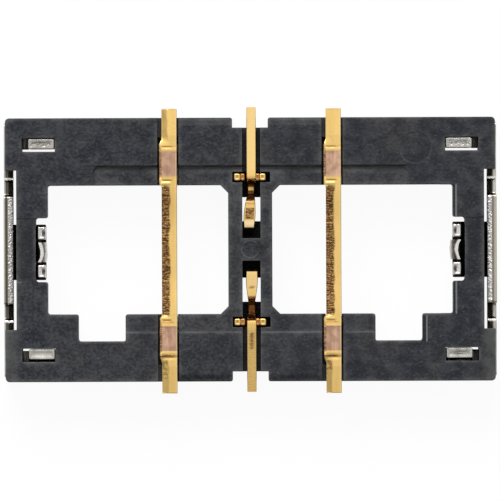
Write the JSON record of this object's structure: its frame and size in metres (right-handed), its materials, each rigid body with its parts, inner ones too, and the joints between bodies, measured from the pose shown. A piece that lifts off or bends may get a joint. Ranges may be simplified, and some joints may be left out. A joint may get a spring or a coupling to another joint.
{
  "type": "flexible printed circuit connector",
  "caption": "Low-profile board receptacle for a battery's flexible circuit: black moulded frame with through windows, gold blade and strip terminals, and folded silver end clips.",
  "frame": {"origin": "middle of the mating face, which the part lies on", "axes": "+Z towards the solder side, +X along the two windows, +Y away from the polarising notches"},
  "size_m": [0.0042, 0.0024, 0.0006],
  "materials": {
    "moulding": "fine-grained black moulding compound",
    "gold_plate": "gold plate over copper alloy, with rough sheared edges",
    "bright_sheet": "bright plated sheet with sparkling sheared edges"
  },
  "bodies": {
    "root": {"housing": "moulding", "power_terminal_left": "gold_plate", "power_terminal_right": "gold_plate", "signal_terminal_back": "gold_plate", "signal_terminal_front": "gold_plate", "end_fitting_left": "bright_sheet", "end_fitting_right": "bright_sheet"}
  },
  "joints": []
}
